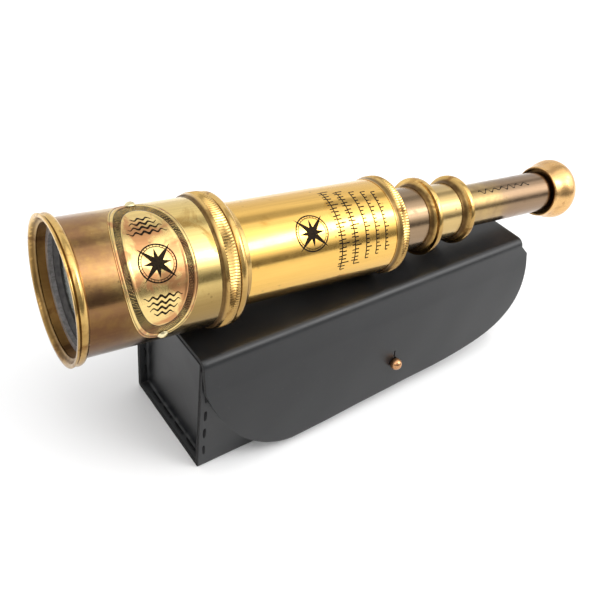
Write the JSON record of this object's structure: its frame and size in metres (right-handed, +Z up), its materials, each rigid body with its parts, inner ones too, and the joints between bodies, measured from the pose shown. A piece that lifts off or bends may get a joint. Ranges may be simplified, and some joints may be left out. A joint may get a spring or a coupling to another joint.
{
  "type": "hand telescope on its case",
  "caption": "Brass hand telescope with sliding draws, lying on its closed black leather flap case with stitched end rims and a ball stud.",
  "frame": {"origin": "centre of the case's flat bottom face", "axes": "+Z up, +X along the case towards the eyepiece end, -Y towards the flap"},
  "size_m": [0.2646, 0.0696, 0.1197],
  "materials": {
    "black_leather": "smooth satin leather",
    "black_thread": "thick waxed thread",
    "stud_brass": "coppery polished ball",
    "polished_brass": "polished yellow brass with light tarnish",
    "aged_brass": "mauve-brown patina over polished brass",
    "plate_brass": "brass plate with a dark stippled border and heat tints",
    "pale_brass": "pale worn brass",
    "blackened_brass": "blackened matt",
    "grey_metal": "dull grey turned ring",
    "lens_glass": "clear polished glass",
    "bush_felt": "thin felt lining"
  },
  "bodies": {
    "case": {"case_wrap": "black_leather", "left_end_panel": "black_leather", "right_end_panel": "black_leather", "left_stitches": "black_thread", "right_stitches": "black_thread", "stud_washer": "stud_brass", "closing_stud": "stud_brass"},
    "lid": {"lid_panel": "black_leather"},
    "flap": {"flap": "black_leather"},
    "telescope": {"objective_rim": "polished_brass", "objective_retainer": "grey_metal", "objective_cell": "blackened_brass", "objective_lens": "lens_glass", "lens_spring_ring": "blackened_brass", "front_tube": "aged_brass", "name_plate": "plate_brass", "plate_screws": "pale_brass", "knurled_collar": "polished_brass", "barrel_tube": "polished_brass", "barrel_end_ring": "polished_brass", "barrel_bush": "bush_felt"},
    "draw1": {"draw1_tube": "aged_brass", "draw1_stop": "blackened_brass", "draw1_end_ring": "polished_brass", "draw1_bush": "bush_felt"},
    "draw2": {"draw2_tube": "polished_brass", "draw2_stop": "blackened_brass", "draw2_end_ring": "polished_brass", "draw2_bush": "bush_felt"},
    "draw3": {"draw3_tube": "aged_brass", "erector_cell": "blackened_brass", "erector_lenses": "lens_glass", "erector_spacer": "blackened_brass", "field_stop": "blackened_brass", "field_lens": "lens_glass", "eyepiece_spacer": "blackened_brass", "eye_lens": "lens_glass", "eyecup": "polished_brass"}
  },
  "joints": [
    {"name": "telescope_lift", "type": "slide", "parent": "case", "child": "telescope", "axis": [0, 0, 1], "range_m": [0, 0.14]},
    {"name": "lid_fold", "type": "hinge", "parent": "case", "child": "lid", "pos_m": [0, 0.0283, 0.06], "axis": [-1, 0, 0], "range_deg": [0, 100]},
    {"name": "flap_fold", "type": "hinge", "parent": "lid", "child": "flap", "pos_m": [0, -0.026, 0.063], "axis": [-1, 0, 0], "range_deg": [0, 90]},
    {"name": "draw1_slide", "type": "slide", "parent": "telescope", "child": "draw1", "axis": [0.9964, -0.0609, -0.0587], "range_m": [-0.0172, 0.04]},
    {"name": "draw2_slide", "type": "slide", "parent": "draw1", "child": "draw2", "axis": [0.9964, -0.0609, -0.0587], "range_m": [-0.0157, 0.044]},
    {"name": "draw3_slide", "type": "slide", "parent": "draw2", "child": "draw3", "axis": [0.9964, -0.0609, -0.0587], "range_m": [-0.0593, 0.0028]}
  ],
  "couplings": [
    {"joint": "lid_fold", "follows": "telescope_lift", "rad_per_m": 12.466}
  ]
}
